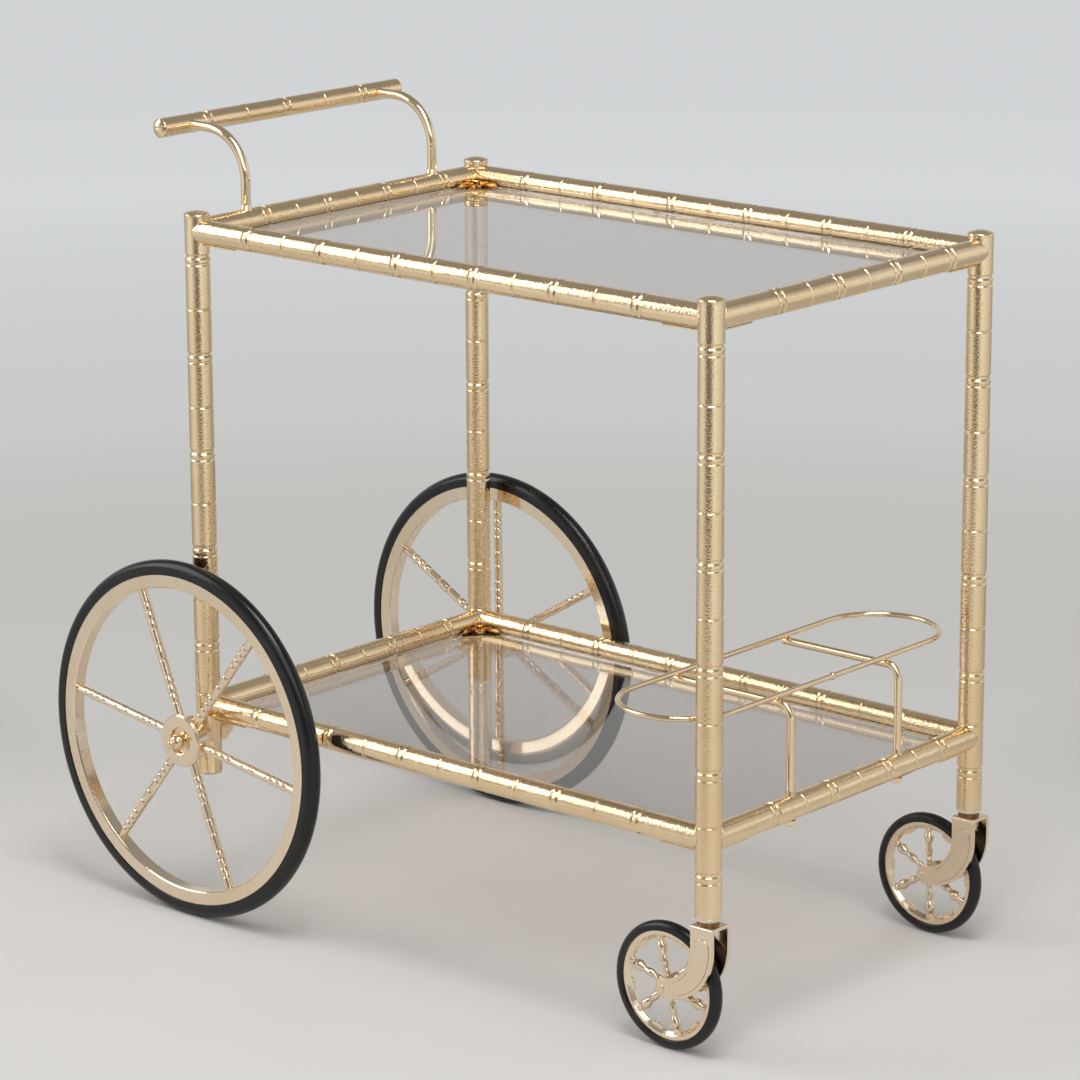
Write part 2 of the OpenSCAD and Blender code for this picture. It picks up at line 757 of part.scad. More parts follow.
// The turned hub: a drum with a boss behind it, and a grooved flange dished round the nut
module rear_hub(side, turn) {
    boss = 2.5;
    flange = 4.4;
    bevel = 0.8;
    groove_depth = 0.8;
    groove_middle = hub_out - 2.2;
    groove_floor = 0.2;
    groove_half = 0.6;
    drum_r = hub_drum_d / 2;
    flange_r = hub_flange_d / 2;
    bore_r = journal_r + running_clearance;
    sink = 3.8;
    color(GOLD) at_axle(side) difference() {
        rotate_extrude() polygon([
            [bore_r, hub_in], [drum_r - 5, hub_in], [drum_r - 4, hub_in + boss - 0.5],
            [drum_r - 1, hub_in + boss], [drum_r, hub_in + boss + 1], [drum_r, hub_out - flange],
            [flange_r - bevel, hub_out - flange], [flange_r, hub_out - flange + bevel],
            [flange_r, groove_middle - groove_half],
            [flange_r - groove_depth, groove_middle - groove_floor],
            [flange_r - groove_depth, groove_middle + groove_floor],
            [flange_r, groove_middle + groove_half], [flange_r, hub_out - bevel],
            [flange_r - bevel, hub_out], [hub_dish_r + 1, hub_out], [hub_dish_r, hub_out - 1],
            [hub_dish_r - 1, hub_floor], [bore_r, hub_floor]]);
        translate([0, 0, wheel_outboard]) spread(spoke_count, turn)
            translate([0, 0, drum_r - sink]) cylinder(r = spigot_r + press_gap, h = 2 * sink);
    }
}

module right_tyre() { rear_tyre(RIGHT); }
module left_tyre() { rear_tyre(LEFT); }
module right_rim() { rear_rim(RIGHT, right_spoke_turn); }
module left_rim() { rear_rim(LEFT, left_spoke_turn); }
module right_spokes() { rear_spokes(RIGHT, right_spoke_turn); }
module left_spokes() { rear_spokes(LEFT, left_spoke_turn); }
module right_hub() { rear_hub(RIGHT, right_spoke_turn); }
module left_hub() { rear_hub(LEFT, left_spoke_turn); }

// ---- Casters ----

// The plastic socket pressed into the foot of a front leg
module caster_socket(side) {
    bore_r = stem_r + running_clearance;
    color(CREAM) at_caster(side) rotate_extrude() polygon([
        [bore_r, socket_z], [leg_r - 0.8, socket_z], [leg_r - 0.1, socket_z + 0.7],
        [leg_r - 0.1, front_leg_bottom], [leg_bore_r - press_gap, front_leg_bottom],
        [leg_bore_r - press_gap, front_leg_bottom + stem_length],
        [bore_r, front_leg_bottom + stem_length]]);
}

module caster_bearing(side) {
    ring_r = leg_r - 2;
    color(BRONZE) at_caster(side) rotate_extrude() polygon([
        [stem_r + running_clearance, crown_z], [ring_r, crown_z], [ring_r, crown_z + 1.2],
        [ring_r - 0.8, crown_z + 1.8], [ring_r - 0.8, crown_z + bearing_height],
        [stem_r + running_clearance, crown_z + bearing_height]]);
}

// The swivel stem, with a head under the fork's crown and a groove for its retaining ring
module caster_stem(side) {
    top = front_leg_bottom + stem_length - 3;
    head_r = stem_r + 2.2;
    head = 1.5;
    crown_bottom = crown_z - fork_wall;
    color(BRIGHT_GOLD) at_caster(side) rotate_extrude() polygon([
        [0, crown_bottom - head], [head_r - 0.6, crown_bottom - head],
        [head_r, crown_bottom - head + 0.6], [head_r, crown_bottom], [stem_r, crown_bottom],
        [stem_r, top - 8], [stem_r - 1, top - 7.5], [stem_r - 1, top - 6], [stem_r, top - 5.5],
        [stem_r, top - 1.5], [stem_r - 1.5, top], [0, top]]);
}

// Centres of a cheek's outer and inner curves and of its lobe at the pin, as [X, height]
cheek_rear = cheek_front - cheek_width;
cheek_inner_rise = 42;
outer_centre = [cheek_front - cheek_outer_bend, pin_z - cheek_drop + cheek_outer_bend];
inner_centre = [cheek_rear - cheek_inner_bend, pin_z + cheek_inner_rise];
lobe_ahead = 2.9;
lobe_x = lobe_ahead - caster_trail;
lobe_angle = acos((lobe_x - inner_centre[0]) / cheek_inner_bend);
lobe_top = inner_centre[1] - cheek_inner_bend * sin(lobe_angle);
lobe_bottom = pin_z - cheek_drop;
lobe_r = (lobe_top - lobe_bottom) / 2;

// Points of an arc after its first one
function arc(centre, r, from, to) =
    let (steps = ceil(abs(to - from) / 5))
    [for (i = [1 : steps])
        let (a = from + i * (to - from) / steps) centre + r * [cos(a), sin(a)]];

// Side view of a cheek: an upright, a bend and a round lobe at the pin
module cheek_outline() {
    polygon(concat(
        [[cheek_rear, crown_z], [cheek_front, crown_z], [cheek_front, outer_centre[1]]],
        arc(outer_centre, cheek_outer_bend, 0, -90),
        [[lobe_x, lobe_bottom]],
        arc([lobe_x, lobe_bottom + lobe_r], lobe_r, -90, -270),
        arc(inner_centre, cheek_inner_bend, -lobe_angle, 0)));
}

// The raised panel follows the cheek's edges and ends short of the crown and of the lobe
module panel_outline() {
    end_angle = -66;
    end_direction = [cos(end_angle), sin(end_angle)];
    outer_r = cheek_outer_bend - panel_inset;
    inner_r = cheek_inner_bend + panel_inset;
    top_r = cheek_width / 2 - panel_inset;
    top_centre = [(cheek_front + cheek_rear) / 2, crown_z - 3 * panel_inset - top_r];
    offset_c = inner_centre - outer_centre;
    along = offset_c * end_direction;
    outer_at = sqrt(along * along - offset_c * offset_c + outer_r * outer_r) - along;
    end_centre = inner_centre + (inner_r + outer_at) / 2 * end_direction;
    outer_end = offset_c + outer_at * end_direction;
    polygon(concat(
        arc(top_centre, top_r, 0, 180),
        [inner_centre + [inner_r, 0]],
        arc(inner_centre, inner_r, 0, end_angle),
        arc(end_centre, (outer_at - inner_r) / 2, end_angle + 180, end_angle + 360),
        arc(outer_centre, outer_r, atan2(outer_end[1], outer_end[0]), 0),
        [top_centre + [top_r, 0]]));
}

// Section of the fork, Y against height: a channel that opens downward, with rounded shoulders
module fork_section() {
    shoulder = 3;
    half = fork_width / 2;
    difference() {
        union() {
            translate([-half, 0]) square([fork_width, crown_z - shoulder]);
            translate([shoulder - half, 0]) square([fork_width - 2 * shoulder, crown_z]);
            for (side = [-1, 1])
                translate([side * (half - shoulder), crown_z - shoulder]) circle(r = shoulder);
        }
        translate([-fork_gap, -1]) square([2 * fork_gap, crown_z - fork_wall + 1]);
    }
}

module caster_fork(side) {
    reach = 3 * caster_d;
    color(GOLD) at_caster(side) difference() {
        union() {
            intersection() {
                rotate([90, 0, 0]) linear_extrude(reach, center = true) cheek_outline();
                rotate([90, 0, 90]) linear_extrude(reach, center = true) fork_section();
            }
            for (face = [-1, 1])
                translate([0, face * (fork_width + panel_height - EPS) / 2, 0]) rotate([90, 0, 0])
                    linear_extrude(panel_height + EPS, center = true) panel_outline();
        }
        cylinder(r = stem_r + press_gap, h = reach);
        translate([-caster_trail, 0, pin_z]) rotate([90, 0, 0])
            cylinder(r = pin_r + press_gap, h = reach, center = true);
    }
}

// The riveted pin with its two low domed heads
module caster_pin(side) {
    head_r = pin_r + 1.8;
    head = 1.4;
    color(BRIGHT_GOLD) at_pin(side) {
        cylinder(r = pin_r, h = fork_width + 2 * EPS, center = true);
        for (face = [-1, 1]) mirror([0, 0, face < 0 ? 1 : 0])
            translate([0, 0, fork_width / 2]) rotate_extrude()
                polygon([[0, 0], [head_r, 0], [head_r - 0.5, 0.8], [head_r - 2, head], [0, head]]);
    }
}

module caster_tyre(side) {
    color(RUBBER) at_pin(side)
        tyre(caster_r, caster_rim_out_r, caster_tyre_width,
             caster_rim_in_r + caster_rim_wall + press_gap,
             caster_rim_width - 2 * caster_rim_wall - 2 * press_gap);
}

// A cast baluster spoke, as shares of its length and of its largest radius
baluster = [[0.00, 0.50], [0.04, 0.60], [0.13, 0.60], [0.19, 0.42], [0.27, 0.65], [0.37, 0.77],
            [0.47, 0.65], [0.55, 0.48], [0.64, 0.81], [0.74, 1.00], [0.82, 0.96], [0.91, 0.62],
            [0.94, 0.54], [0.96, 0.69], [1.00, 0.69]];

// A baluster between the hub and the rim, with its ends sunk into both
module baluster_spoke(from, to) {
    root = 1;
    tip = 0.8 * caster_rim_wall;
    root_r = baluster[0][1] * caster_spoke_r;
    tip_r = baluster[len(baluster) - 1][1] * caster_spoke_r;
    rotate_extrude() polygon(concat(
        [[0, from - root], [root_r, from - root]],
        [for (p = baluster) [p[1] * caster_spoke_r, from + p[0] * (to - from)]],
        [[tip_r, to + tip], [0, to + tip]]));
}

// A low ornament of three lobes on the rim's inner ridge
module scallop() {
    thickness = 3;
    lobe_angle = 5.2;
    side_lobe_r = 1.7;
    middle_lobe_r = 2.2;
    middle_lobe_lift = 0.4;
    for (lobe = [-1 : 1]) rotate([0, 0, lobe * lobe_angle])
        translate([caster_rim_in_r - (lobe == 0 ? middle_lobe_lift : 0), 0, 0])
            cylinder(r = lobe == 0 ? middle_lobe_r : side_lobe_r, h = thickness, center = true);
}

// The casting: rim, baluster spokes, hub, and an ornament on the rim midway between spokes
module caster_wheel(side, turn) {
    hub_half = fork_gap - side_gap;
    ridge = 0.5;
    bevel = 3.2;
    color(BRIGHT_GOLD) at_pin(side) difference() {
        union() {
            rotate_extrude()
                rim_profile(caster_rim_in_r, caster_rim_out_r, caster_rim_width,
                            caster_rim_wall, bevel, caster_rim_width / 2 - ridge);
            cylinder(r = caster_hub_r, h = 2 * hub_half - 4, center = true);
            cylinder(r = caster_hub_r - 2.5, h = 2 * hub_half, center = true);
            spread(spoke_count, turn) baluster_spoke(caster_hub_r, caster_rim_in_r);
            for (i = [0 : spoke_count - 1])
                rotate([0, 0, turn + (i + 0.5) * 360 / spoke_count]) scallop();
        }
        cylinder(r = pin_r + running_clearance, h = 4 * hub_half, center = true);
    }
}

module right_caster_socket() { caster_socket(RIGHT); }
module left_caster_socket() { caster_socket(LEFT); }
module right_caster_bearing() { caster_bearing(RIGHT); }
module left_caster_bearing() { caster_bearing(LEFT); }
module right_caster_stem() { caster_stem(RIGHT); }
module left_caster_stem() { caster_stem(LEFT); }
module right_caster_fork() { caster_fork(RIGHT); }
module left_caster_fork() { caster_fork(LEFT); }
module right_caster_pin() { caster_pin(RIGHT); }
module left_caster_pin() { caster_pin(LEFT); }
module right_caster_tyre() { caster_tyre(RIGHT); }
module left_caster_tyre() { caster_tyre(LEFT); }
module right_caster_wheel() { caster_wheel(RIGHT, right_caster_turn); }
module left_caster_wheel() { caster_wheel(LEFT, left_caster_turn); }

module front_right_leg() { color(GOLD) front_leg(RIGHT); }
module front_left_leg() { color(GOLD) front_leg(LEFT); }
module rear_right_leg() { color(GOLD) rear_leg(RIGHT); }
module rear_left_leg() { color(GOLD) rear_leg(LEFT); }

front_right_leg();
front_left_leg();
rear_right_leg();
rear_left_leg();
leg_caps();
rear_leg_plugs();
upper_right_rail();
upper_left_rail();
upper_front_rail();
upper_rear_rail();
lower_right_rail();
lower_left_rail();
lower_front_rail();
lower_rear_rail();
upper_corner_plates();
lower_corner_plates();
upper_glass();
lower_glass();
handle_bar();
handle_end_caps();
right_handle_rod();
left_handle_rod();
handle_rod_nuts();
bottle_ring();
right_ring_post();
left_ring_post();
ring_post_nuts();
right_stub_axle();
left_stub_axle();
axle_collars();
axle_saddle_washers();
axle_inner_nuts();
hub_washers();
hub_nuts();
right_tyre();
right_rim();
right_spokes();
right_hub();
left_tyre();
left_rim();
left_spokes();
left_hub();
right_caster_socket();
right_caster_bearing();
right_caster_stem();
right_caster_fork();
right_caster_pin();
right_caster_tyre();
right_caster_wheel();
left_caster_socket();
left_caster_bearing();
left_caster_stem();
left_caster_fork();
left_caster_pin();
left_caster_tyre();
left_caster_wheel();
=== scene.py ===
"""Looks for the dessert trolley: gilt bamboo-pattern tube, smoked glass, black tyres, plain studio.

Metres, in the frame of the CAD model: +X is forward, +Y is the trolley's left, +Z is up.
"""
import json
import math

import bpy
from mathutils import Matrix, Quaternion, Vector


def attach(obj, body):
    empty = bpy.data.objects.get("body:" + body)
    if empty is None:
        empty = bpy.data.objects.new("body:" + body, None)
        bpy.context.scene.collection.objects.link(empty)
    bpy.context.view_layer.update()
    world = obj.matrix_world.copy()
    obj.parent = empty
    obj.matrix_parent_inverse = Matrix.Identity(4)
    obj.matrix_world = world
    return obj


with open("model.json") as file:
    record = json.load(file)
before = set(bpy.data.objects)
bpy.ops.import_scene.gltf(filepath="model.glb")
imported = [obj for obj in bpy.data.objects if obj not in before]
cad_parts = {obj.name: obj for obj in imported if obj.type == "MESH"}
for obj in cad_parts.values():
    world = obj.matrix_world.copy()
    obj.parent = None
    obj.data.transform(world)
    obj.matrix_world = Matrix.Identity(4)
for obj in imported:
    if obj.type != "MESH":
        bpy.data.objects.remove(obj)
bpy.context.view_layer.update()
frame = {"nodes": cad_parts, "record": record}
NODES = frame["nodes"]

# Camera: fitted to the photograph's legs, rails and wheels
CAMERA_TARGET = Vector((0.026485, 0.025616, 0.416346))
CAMERA_AZIMUTH = math.radians(-49.113)
CAMERA_ELEVATION = math.radians(13.909)
CAMERA_ROLL = math.radians(-0.182)
CAMERA_DISTANCE = 3.824
CAMERA_LENS = 140.185
CAMERA_SHIFT = (-0.0185, -0.0648)
SENSOR_WIDTH = 36.0

# Plated metals: light and deep colour, roughness, and the depth and scale of the grain
PLATINGS = {
    "gilt_satin": ((0.90, 0.705, 0.455, 1), (0.85, 0.645, 0.39, 1), 0.07, 0.00018, 680.0),
    "gilt_bright": ((0.91, 0.73, 0.50, 1), (0.86, 0.67, 0.43, 1), 0.08, 0.00006, 520.0),
    "gilt_casting": ((0.91, 0.765, 0.585, 1), (0.86, 0.70, 0.51, 1), 0.11, 0.00006, 520.0),
    "dark_bronze": ((0.34, 0.20, 0.10, 1), (0.25, 0.14, 0.07, 1), 0.22, 0.00012, 520.0),
    # the panel beads' darker gold is painted shade along the edges of the forks' raised panels
    "painted_shade_panel_edge": ((0.62, 0.45, 0.27, 1), (0.52, 0.37, 0.21, 1), 0.2, 0.0001, 520.0)}
# Radius that the shading gives their edges
EDGE_RADIUS = 0.0009
# The pits in them: how much finer than the grain, and how dark beside the deep colour
PIT_FINENESS = 1.2
PIT_SHADE = 0.7

# Where each caster swivels, half the width of its fork, and the beads on the fork's cheeks
SWIVELS = {joint["child"]: joint["pos_m"] for joint in frame["record"]["behaviour"]["joints"]}
FORK_HALF_WIDTH = 0.012
BEAD_RADIUS = 0.00045
ARC_STEPS = 14

# Plain white light that matt surfaces get from the world
DAYLIGHT = 0.363
# What the camera, the reflections and the glass see of the world: the room's colour by the sine
# of the elevation, first its walls and then a dimmer ceiling
ROOM = ((0.0, (0.50, 0.50, 0.495, 1.0)), (0.12, (0.58, 0.59, 0.59, 1.0)),
        (0.2, (0.64, 0.65, 0.66, 1.0)), (0.28, (0.60, 0.605, 0.61, 1.0)),
        (0.42, (0.35, 0.345, 0.34, 1.0)), (0.8, (0.30, 0.295, 0.29, 1.0)))

# The floor's paper, with faint spots, and the distances over which it passes into the backdrop
FLOOR_RADIUS = 40.0
PAPER = (0.72, 0.705, 0.685, 1.0)
PAPER_SPOT = (0.45, 0.44, 0.42, 1.0)
SPOT_STRENGTH = 0.06
PAPER_FADE = (0.55, 1.35)
# The backdrop's colour by the distance from the trolley
BACKDROP_REACH = 6.0
BACKDROP = ((0.5, (0.565, 0.555, 0.535, 1.0)), (1.5, (0.535, 0.53, 0.51, 1.0)),
            (2.1, (0.585, 0.595, 0.59, 1.0)), (2.9, (0.61, 0.625, 0.618, 1.0)),
            (3.8, (0.665, 0.68, 0.69, 1.0)), (4.9, (0.645, 0.66, 0.675, 1.0)))
# Painted light on the far floor: how bright it is in each direction, in degrees from +X: painted
# lamplight to both sides of the camera, painted dimness towards the room's sides, and plain where
# the camera sees it
FLOOR_PAINTED_LIGHT = ((-180, 0.64), (-165, 0.80), (-150, 1.00), (-135, 1.20), (-120, 1.42), (-105, 1.30),
              (-90, 1.02), (-70, 0.97), (-50, 1.15), (-35, 1.42), (-20, 1.50), (-5, 1.40),
              (15, 1.25), (35, 1.05), (58, 0.80), (72, 0.68), (78, 0.68), (90, 1.00),
              (168, 1.00), (178, 0.68), (180, 0.64))
PAINTED_LIGHT_TOP = 1.5

# Softboxes, all aimed at one point: place, size, and power in watts
LAMP_TARGET = Vector((0.0, 0.0, 0.45))
LAMPS = {
    "overhead": ((0.75, -0.5, 2.6), (1.1, 1.0), 26),
    "front_top": ((1.7, -1.5, 2.0), (2.2, 1.9), 18),
    "left_window": ((-2.05, -1.5, 1.8), (1.8, 1.9), 24),
    "right_fill": ((1.6, 1.95, 1.2), (2.0, 1.8), 3.0)}

# A dark card that stands on the floor between the camera and the trolley, for reflections alone
CARD_AZIMUTH = math.radians(-62.0)
CARD_DISTANCE = 1.95
CARD_WIDTH, CARD_HEIGHT = 2.6, 1.1
CARD_COLOUR = (0.20, 0.19, 0.18, 1.0)
# How far across the card it starts to fade, and where it is gone, as shares of its width
CARD_FADE = (0.12, 0.5)


# ---- Node helpers ----

class Tree:
    """A small wrapper that adds and links shader nodes."""

    def __init__(self, tree):
        self.nodes = tree.nodes
        self.links = tree.links
        self.nodes.clear()

    def feed(self, socket, value):
        """Links a socket to the value where that is a socket, and sets it otherwise."""
        if isinstance(value, bpy.types.NodeSocket):
            self.links.new(value, socket)
        else:
            socket.default_value = value

    def add(self, kind, **inputs):
        """Adds a node and feeds its inputs by name, with _ for a space."""
        node = self.nodes.new(kind)
        for name, value in inputs.items():
            self.feed(node.inputs[name.replace("_", " ")], value)
        return node

    def maths(self, operation, a, b=0.0, clamp=False):
        node = self.nodes.new("ShaderNodeMath")
        node.operation = operation
        node.use_clamp = clamp
        self.feed(node.inputs[0], a)
        self.feed(node.inputs[1], b)
        return node.outputs[0]

    def ramp(self, value, *stops):
        """A colour ramp with stops of (position, grey or colour)."""
        node = self.nodes.new("ShaderNodeValToRGB")
        self.links.new(value, node.inputs["Fac"])
        elements = node.color_ramp.elements
        while len(elements) < len(stops):
            elements.new(0.5)
        for element, (position, colour) in zip(elements, stops):
            element.position = position
            element.color = (colour, colour, colour, 1) if isinstance(colour, float) else colour
        return node.outputs["Color"]

    def span(self, value, low, high, to_low=0.0, to_high=1.0):
        """Maps value from low..high to to_low..to_high, clamped."""
        node = self.nodes.new("ShaderNodeMapRange")
        self.links.new(value, node.inputs["Value"])
        for name, number in (("From Min", low), ("From Max", high),
                             ("To Min", to_low), ("To Max", to_high)):
            node.inputs[name].default_value = number
        return node.outputs["Result"]

    def noise(self, position, scale, detail=2.0, roughness=0.5):
        node = self.add("ShaderNodeTexNoise", Vector=position, Scale=scale,
                        Detail=detail, Roughness=roughness)
        return node.outputs["Fac"]

    def mix(self, factor, a, b):
        """The colour a where the factor is 0, and b where it is 1."""
        node = self.nodes.new("ShaderNodeMix")
        node.data_type = "RGBA"
        self.feed(node.inputs[0], factor)
        self.feed(node.inputs[6], a)
        self.feed(node.inputs[7], b)
        return node.outputs[2]

    def bump(self, height, strength, distance, under=None):
        """A bump, over the normal under where one is given."""
        node = self.add("ShaderNodeBump", Height=height, Strength=strength, Distance=distance)
        if under is not None:
            self.links.new(under, node.inputs["Normal"])
        return node.outputs["Normal"]


def new_material(name):
    material = bpy.data.materials.new(name)
    material.use_nodes = True
    tree = Tree(material.node_tree)
    output = tree.nodes.new("ShaderNodeOutputMaterial")
    return material, tree, output


def principled(tree, output, **inputs):
    shader = tree.add("ShaderNodeBsdfPrincipled", **inputs)
    tree.links.new(shader.outputs[0], output.inputs["Surface"])


def blend(tree, output, factor, first, second):
    """Gives the output the first shader where the factor is 0, and the second where it is 1."""
    both = tree.nodes.new("ShaderNodeMixShader")
    tree.links.new(factor, both.inputs[0])
    tree.links.new(first.outputs[0], both.inputs[1])
    tree.links.new(second.outputs[0], both.inputs[2])
    tree.links.new(both.outputs[0], output.inputs["Surface"])


def object_position(tree):
    return tree.nodes.new("ShaderNodeTexCoord").outputs["Object"]


# ---- Materials ----

def plated_material(name, light, deep, rough, grain_depth, grain_scale):
    """Plated metal: a slow drift of colour, a fine grain with pits, and patches dulled by hands.

    Its edges are rounded off in the shading alone.
    """
    material, tree, output = new_material(name)
    position = object_position(tree)
    patina = tree.noise(position, 14.0, 3.0)
    smudge = tree.noise(position, 60.0, 4.0, 0.6)
    grain = tree.noise(position, grain_scale, 0.0)
    clear_of_pits = tree.span(tree.noise(position, grain_scale * PIT_FINENESS, 0.0),
                              0.33, 0.50, 0.84, 1.0)
    pit_colour = tuple(PIT_SHADE * value for value in deep[:3]) + (1.0,)
    colour = tree.mix(tree.span(patina, 0.35, 0.68), light, deep)
    colour = tree.mix(clear_of_pits, pit_colour, colour)
    roughness = tree.span(smudge, 0.3, 0.75, rough - 0.02, rough + 0.05)
    rounded = tree.add("ShaderNodeBevel", Radius=EDGE_RADIUS)
    rounded.samples = 4
    principled(tree, output, Base_Color=colour, Metallic=1.0, Roughness=roughness,
               Normal=tree.bump(grain, 1.0, grain_depth, rounded.outputs["Normal"]))
    return material


def rubber_material():
    """Smooth black rubber with fine dust in it."""
    material, tree, output = new_material("black_rubber")
    position = object_position(tree)
    dust = tree.noise(position, 35.0, 5.0, 0.65)
    fine = tree.noise(position, 1500.0, 2.0)
    colour = tree.mix(tree.span(dust, 0.45, 0.8), (0.003, 0.003, 0.004, 1),
                      (0.009, 0.009, 0.010, 1))
    roughness = tree.span(dust, 0.3, 0.8, 0.20, 0.28)
    principled(tree, output, Base_Color=colour, Roughness=roughness, Specular_IOR_Level=0.45,
               Normal=tree.bump(fine, 0.12, 0.0002))
    return material


def plastic_material():
    """Cream plastic, a little yellowed in patches."""
    material, tree, output = new_material("cream_plastic")
    position = object_position(tree)
    patch = tree.noise(position, 90.0, 3.0)
    colour = tree.mix(patch, (0.78, 0.75, 0.66, 1), (0.68, 0.63, 0.50, 1))
    principled(tree, output, Base_Color=colour, Roughness=tree.span(patch, 0.3, 0.7, 0.3, 0.45),
               Normal=tree.bump(tree.noise(position, 1200.0), 0.1, 0.0002))
    return material


def glass_material():
    """Smoked float glass. Lamps reach what lies under it, dimmed by its tint."""
    material, tree, output = new_material("smoked_glass")
    position = object_position(tree)
    haze = tree.noise(position, 9.0, 5.0, 0.6)
    glass_shader = tree.add("ShaderNodeBsdfPrincipled", Base_Color=(0.68, 0.645, 0.61, 1),
                            Roughness=tree.span(haze, 0.4, 0.8, 0.0, 0.025), IOR=1.52,
                            Transmission_Weight=1.0)
    tint = tree.add("ShaderNodeBsdfTransparent", Color=(0.86, 0.85, 0.84, 1))
    path = tree.nodes.new("ShaderNodeLightPath")
    blend(tree, output, path.outputs["Is Shadow Ray"], glass_shader, tint)
    return material


def paint(material, *names):
    """Gives the named CAD parts one material all over."""
    for name in names:
        slots = NODES[name].material_slots
        if not slots:
            NODES[name].data.materials.append(material)
        for slot in NODES[name].material_slots:
            slot.material = material


# ---- Small pieces that the CAD model leaves out ----

def on_circle(centre, radius, degrees):
    """The point at an angle on a circle in the plane of X and Z."""
    angle = math.radians(degrees)
    return (centre[0] + radius * math.cos(angle), centre[1] + radius * math.sin(angle))


def arc(centre, radius, start, end):
    """Points from one angle to another on such a circle."""
    return [on_circle(centre, radius, start + (end - start) * i / ARC_STEPS)
            for i in range(ARC_STEPS + 1)]


def panel_path():
    """The edge of a fork's raised panel, from the swivel's axis and the floor."""
    outer_centre, outer_r = (-0.0368, 0.0996), 0.0469
    inner_centre, inner_r = (-0.0423, 0.0985), 0.0362
    top_centre, top_r = (0.0020, 0.1021), 0.0081
    outer_turn = -70.2
    inner_turn = -66.0
    outer_end = on_circle(outer_centre, outer_r, outer_turn)
    inner_end = on_circle(inner_centre, inner_r, inner_turn)
    end_centre = ((inner_end[0] + outer_end[0]) / 2, (inner_end[1] + outer_end[1]) / 2)
    end_r = math.dist(inner_end, outer_end) / 2
    return (arc(top_centre, top_r, 0, 180) + arc(inner_centre, inner_r, 0, inner_turn)
            + arc(end_centre, end_r, 180 + inner_turn, 360 + inner_turn)
            + arc(outer_centre, outer_r, outer_turn, 0))


def panel_beads(side, material):
    """A thin bead round each raised panel of a caster's fork, half sunk in the cheek; its darker
    gold is painted shade along the panel's edge.
    """
    forward, across = SWIVELS[side + "_caster"][:2]
    for face in (-1, 1):
        curve = bpy.data.curves.new(f"{side}_panel_bead", "CURVE")
        curve.dimensions = "3D"
        curve.bevel_depth = BEAD_RADIUS
        curve.bevel_resolution = 2
        points = panel_path()
        spline = curve.splines.new("POLY")
        spline.points.add(len(points) - 1)
        spline.use_cyclic_u = True
        for point, (x, z) in zip(spline.points, points):
            point.co = (forward + x, across + face * FORK_HALF_WIDTH, z, 1.0)
        curve.materials.append(material)
        name = f"{side}_fork_bead_{'outer' if face * across > 0 else 'inner'}"
        bead = bpy.data.objects.new(name, curve)
        bpy.context.scene.collection.objects.link(bead)
        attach(bead, side + "_caster")


# ---- Studio ----

def seen_rays(tree):
    """1 for camera, glossy and transmission rays, 0 for the rest."""
    path = tree.nodes.new("ShaderNodeLightPath")
    seen = tree.maths("ADD", path.outputs["Is Camera Ray"], path.outputs["Is Glossy Ray"],
                      clamp=True)
    return tree.maths("ADD", seen, path.outputs["Is Transmission Ray"], clamp=True)


def make_world():
    world = bpy.data.worlds.new("studio")
    bpy.context.scene.world = world
    world.use_nodes = True
    tree = Tree(world.node_tree)
    output = tree.nodes.new("ShaderNodeOutputWorld")
    direction = tree.nodes.new("ShaderNodeTexCoord").outputs["Generated"]
    height = tree.add("ShaderNodeSeparateXYZ", Vector=direction).outputs["Z"]
    room = tree.ramp(height, *ROOM)
    seen = seen_rays(tree)
    colour = tree.mix(seen, (1.0, 1.0, 1.0, 1.0), room)
    strength = tree.span(seen, 0.0, 1.0, DAYLIGHT, 1.0)
    background = tree.add("ShaderNodeBackground", Color=colour, Strength=strength)
    tree.links.new(background.outputs[0], output.inputs["Surface"])


def floor_material():
    """Pale studio paper. Further out, seen rays find the backdrop's own colours in its place, with
    painted light that brightens and dims them by direction.
    """
    material, tree, output = new_material("studio_floor")
    position = object_position(tree)
    away = tree.nodes.new("ShaderNodeVectorMath")
    away.operation = "LENGTH"
    tree.links.new(position, away.inputs[0])
    distance = away.outputs["Value"]
    mottle = tree.span(tree.noise(position, 3.0, 6.0, 0.6), 0.35, 0.75)
    paper_colour = tree.mix(tree.maths("MULTIPLY", mottle, SPOT_STRENGTH), PAPER, PAPER_SPOT)
    paper = tree.add("ShaderNodeBsdfDiffuse", Color=paper_colour)
    backdrop = tree.ramp(tree.span(distance, 0.0, BACKDROP_REACH),
                         *[(reach / BACKDROP_REACH, colour) for reach, colour in BACKDROP])
    axes = tree.add("ShaderNodeSeparateXYZ", Vector=position)
    turn = tree.maths("ARCTAN2", axes.outputs["Y"], axes.outputs["X"])
    # painted light: the far floor brightened and dimmed by direction
    painted_light = tree.ramp(tree.span(turn, -math.pi, math.pi),
                     *[(angle / 360 + 0.5, level / PAINTED_LIGHT_TOP) for angle, level in FLOOR_PAINTED_LIGHT])
    far = tree.add("ShaderNodeEmission", Color=backdrop,
                   Strength=tree.maths("MULTIPLY", painted_light, PAINTED_LIGHT_TOP))
    fade = tree.maths("MULTIPLY", tree.span(distance, *PAPER_FADE), seen_rays(tree))
    blend(tree, output, fade, paper, far)
    return material


def make_floor():
    bpy.ops.mesh.primitive_circle_add(vertices=96, radius=FLOOR_RADIUS, fill_type="NGON")
    floor = bpy.context.active_object
    floor.name = "studio_floor"
    floor.data.materials.append(floor_material())


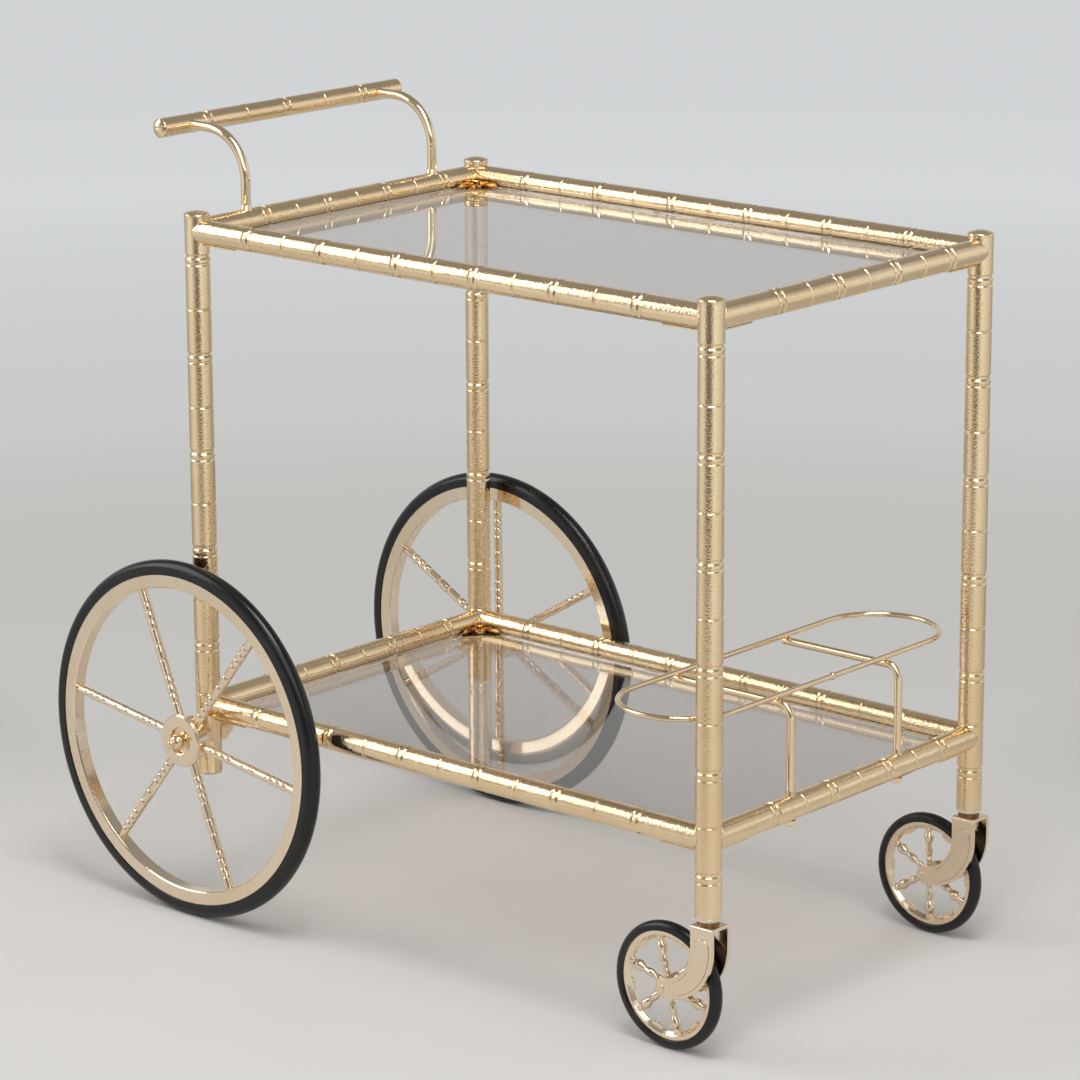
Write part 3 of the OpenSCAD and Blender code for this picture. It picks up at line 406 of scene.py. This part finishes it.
def card_material():
    """A dark even tone that fades out towards the card's sides."""
    material, tree, output = new_material("dark_room")
    tone = tree.add("ShaderNodeEmission", Color=CARD_COLOUR, Strength=1.0)
    clear = tree.nodes.new("ShaderNodeBsdfTransparent")
    across = tree.add("ShaderNodeSeparateXYZ", Vector=object_position(tree)).outputs["X"]
    solid = tree.span(tree.maths("ABSOLUTE", across), *CARD_FADE, 1.0, 0.0)
    blend(tree, output, solid, clear, tone)
    return material


def make_card():
    """The upright card that reflections see as the dark part of the room."""
    bpy.ops.mesh.primitive_plane_add(size=1.0)
    card = bpy.context.active_object
    card.name = "dark_room"
    card.scale = (CARD_WIDTH, CARD_HEIGHT, 1.0)
    card.location = (CARD_DISTANCE * math.cos(CARD_AZIMUTH),
                     CARD_DISTANCE * math.sin(CARD_AZIMUTH), CARD_HEIGHT / 2)
    card.rotation_euler = (math.pi / 2, 0.0, CARD_AZIMUTH + math.pi / 2)
    card.data.materials.append(card_material())
    card.visible_camera = False
    card.visible_diffuse = False
    card.visible_transmission = False
    card.visible_shadow = False


def softbox(name, location, size, power):
    lamp = bpy.data.lights.new(name, "AREA")
    lamp.shape = "RECTANGLE"
    lamp.size, lamp.size_y = size
    lamp.energy = power
    thing = bpy.data.objects.new(name, lamp)
    bpy.context.scene.collection.objects.link(thing)
    thing.location = location
    thing.rotation_euler = (LAMP_TARGET - thing.location).to_track_quat("-Z", "Y").to_euler()


def make_camera():
    camera = bpy.data.objects.new("camera", bpy.data.cameras.new("camera"))
    bpy.context.scene.collection.objects.link(camera)
    away = Vector((math.cos(CAMERA_ELEVATION) * math.cos(CAMERA_AZIMUTH),
                   math.cos(CAMERA_ELEVATION) * math.sin(CAMERA_AZIMUTH),
                   math.sin(CAMERA_ELEVATION)))
    camera.location = CAMERA_TARGET + away * CAMERA_DISTANCE
    upright = (-away).to_track_quat("-Z", "Y")
    camera.rotation_euler = (upright @ Quaternion((0, 0, 1), CAMERA_ROLL)).to_euler()
    camera.data.lens = CAMERA_LENS
    camera.data.sensor_width = SENSOR_WIDTH
    camera.data.shift_x, camera.data.shift_y = CAMERA_SHIFT
    bpy.context.scene.camera = camera


# ---- Making ----

make_camera()
make_world()
make_floor()
make_card()
for lamp_name, settings in LAMPS.items():
    softbox(lamp_name, *settings)

plated = {name: plated_material(name, *plating) for name, plating in PLATINGS.items()}
BY_SLOT = {"gilt_tube": plated["gilt_satin"], "gilt_bright": plated["gilt_bright"],
           "bronze": plated["dark_bronze"], "tyre": rubber_material(),
           "cream_plastic": plastic_material(), "smoked_glass": glass_material()}
for part in frame["record"]["subparts"]:
    paint(BY_SLOT[part["material_slot"]], part["node"])
for side in ("right", "left"):
    paint(plated["gilt_casting"], side + "_rim", side + "_hub", side + "_spokes",
          side + "_caster_fork", side + "_caster_wheel", side + "_caster_pin")
    # the beads' darker gold paints the shade along each panel's edge
    panel_beads(side, plated["painted_shade_panel_edge"])

scene = bpy.context.scene
scene.view_settings.view_transform = "Standard"
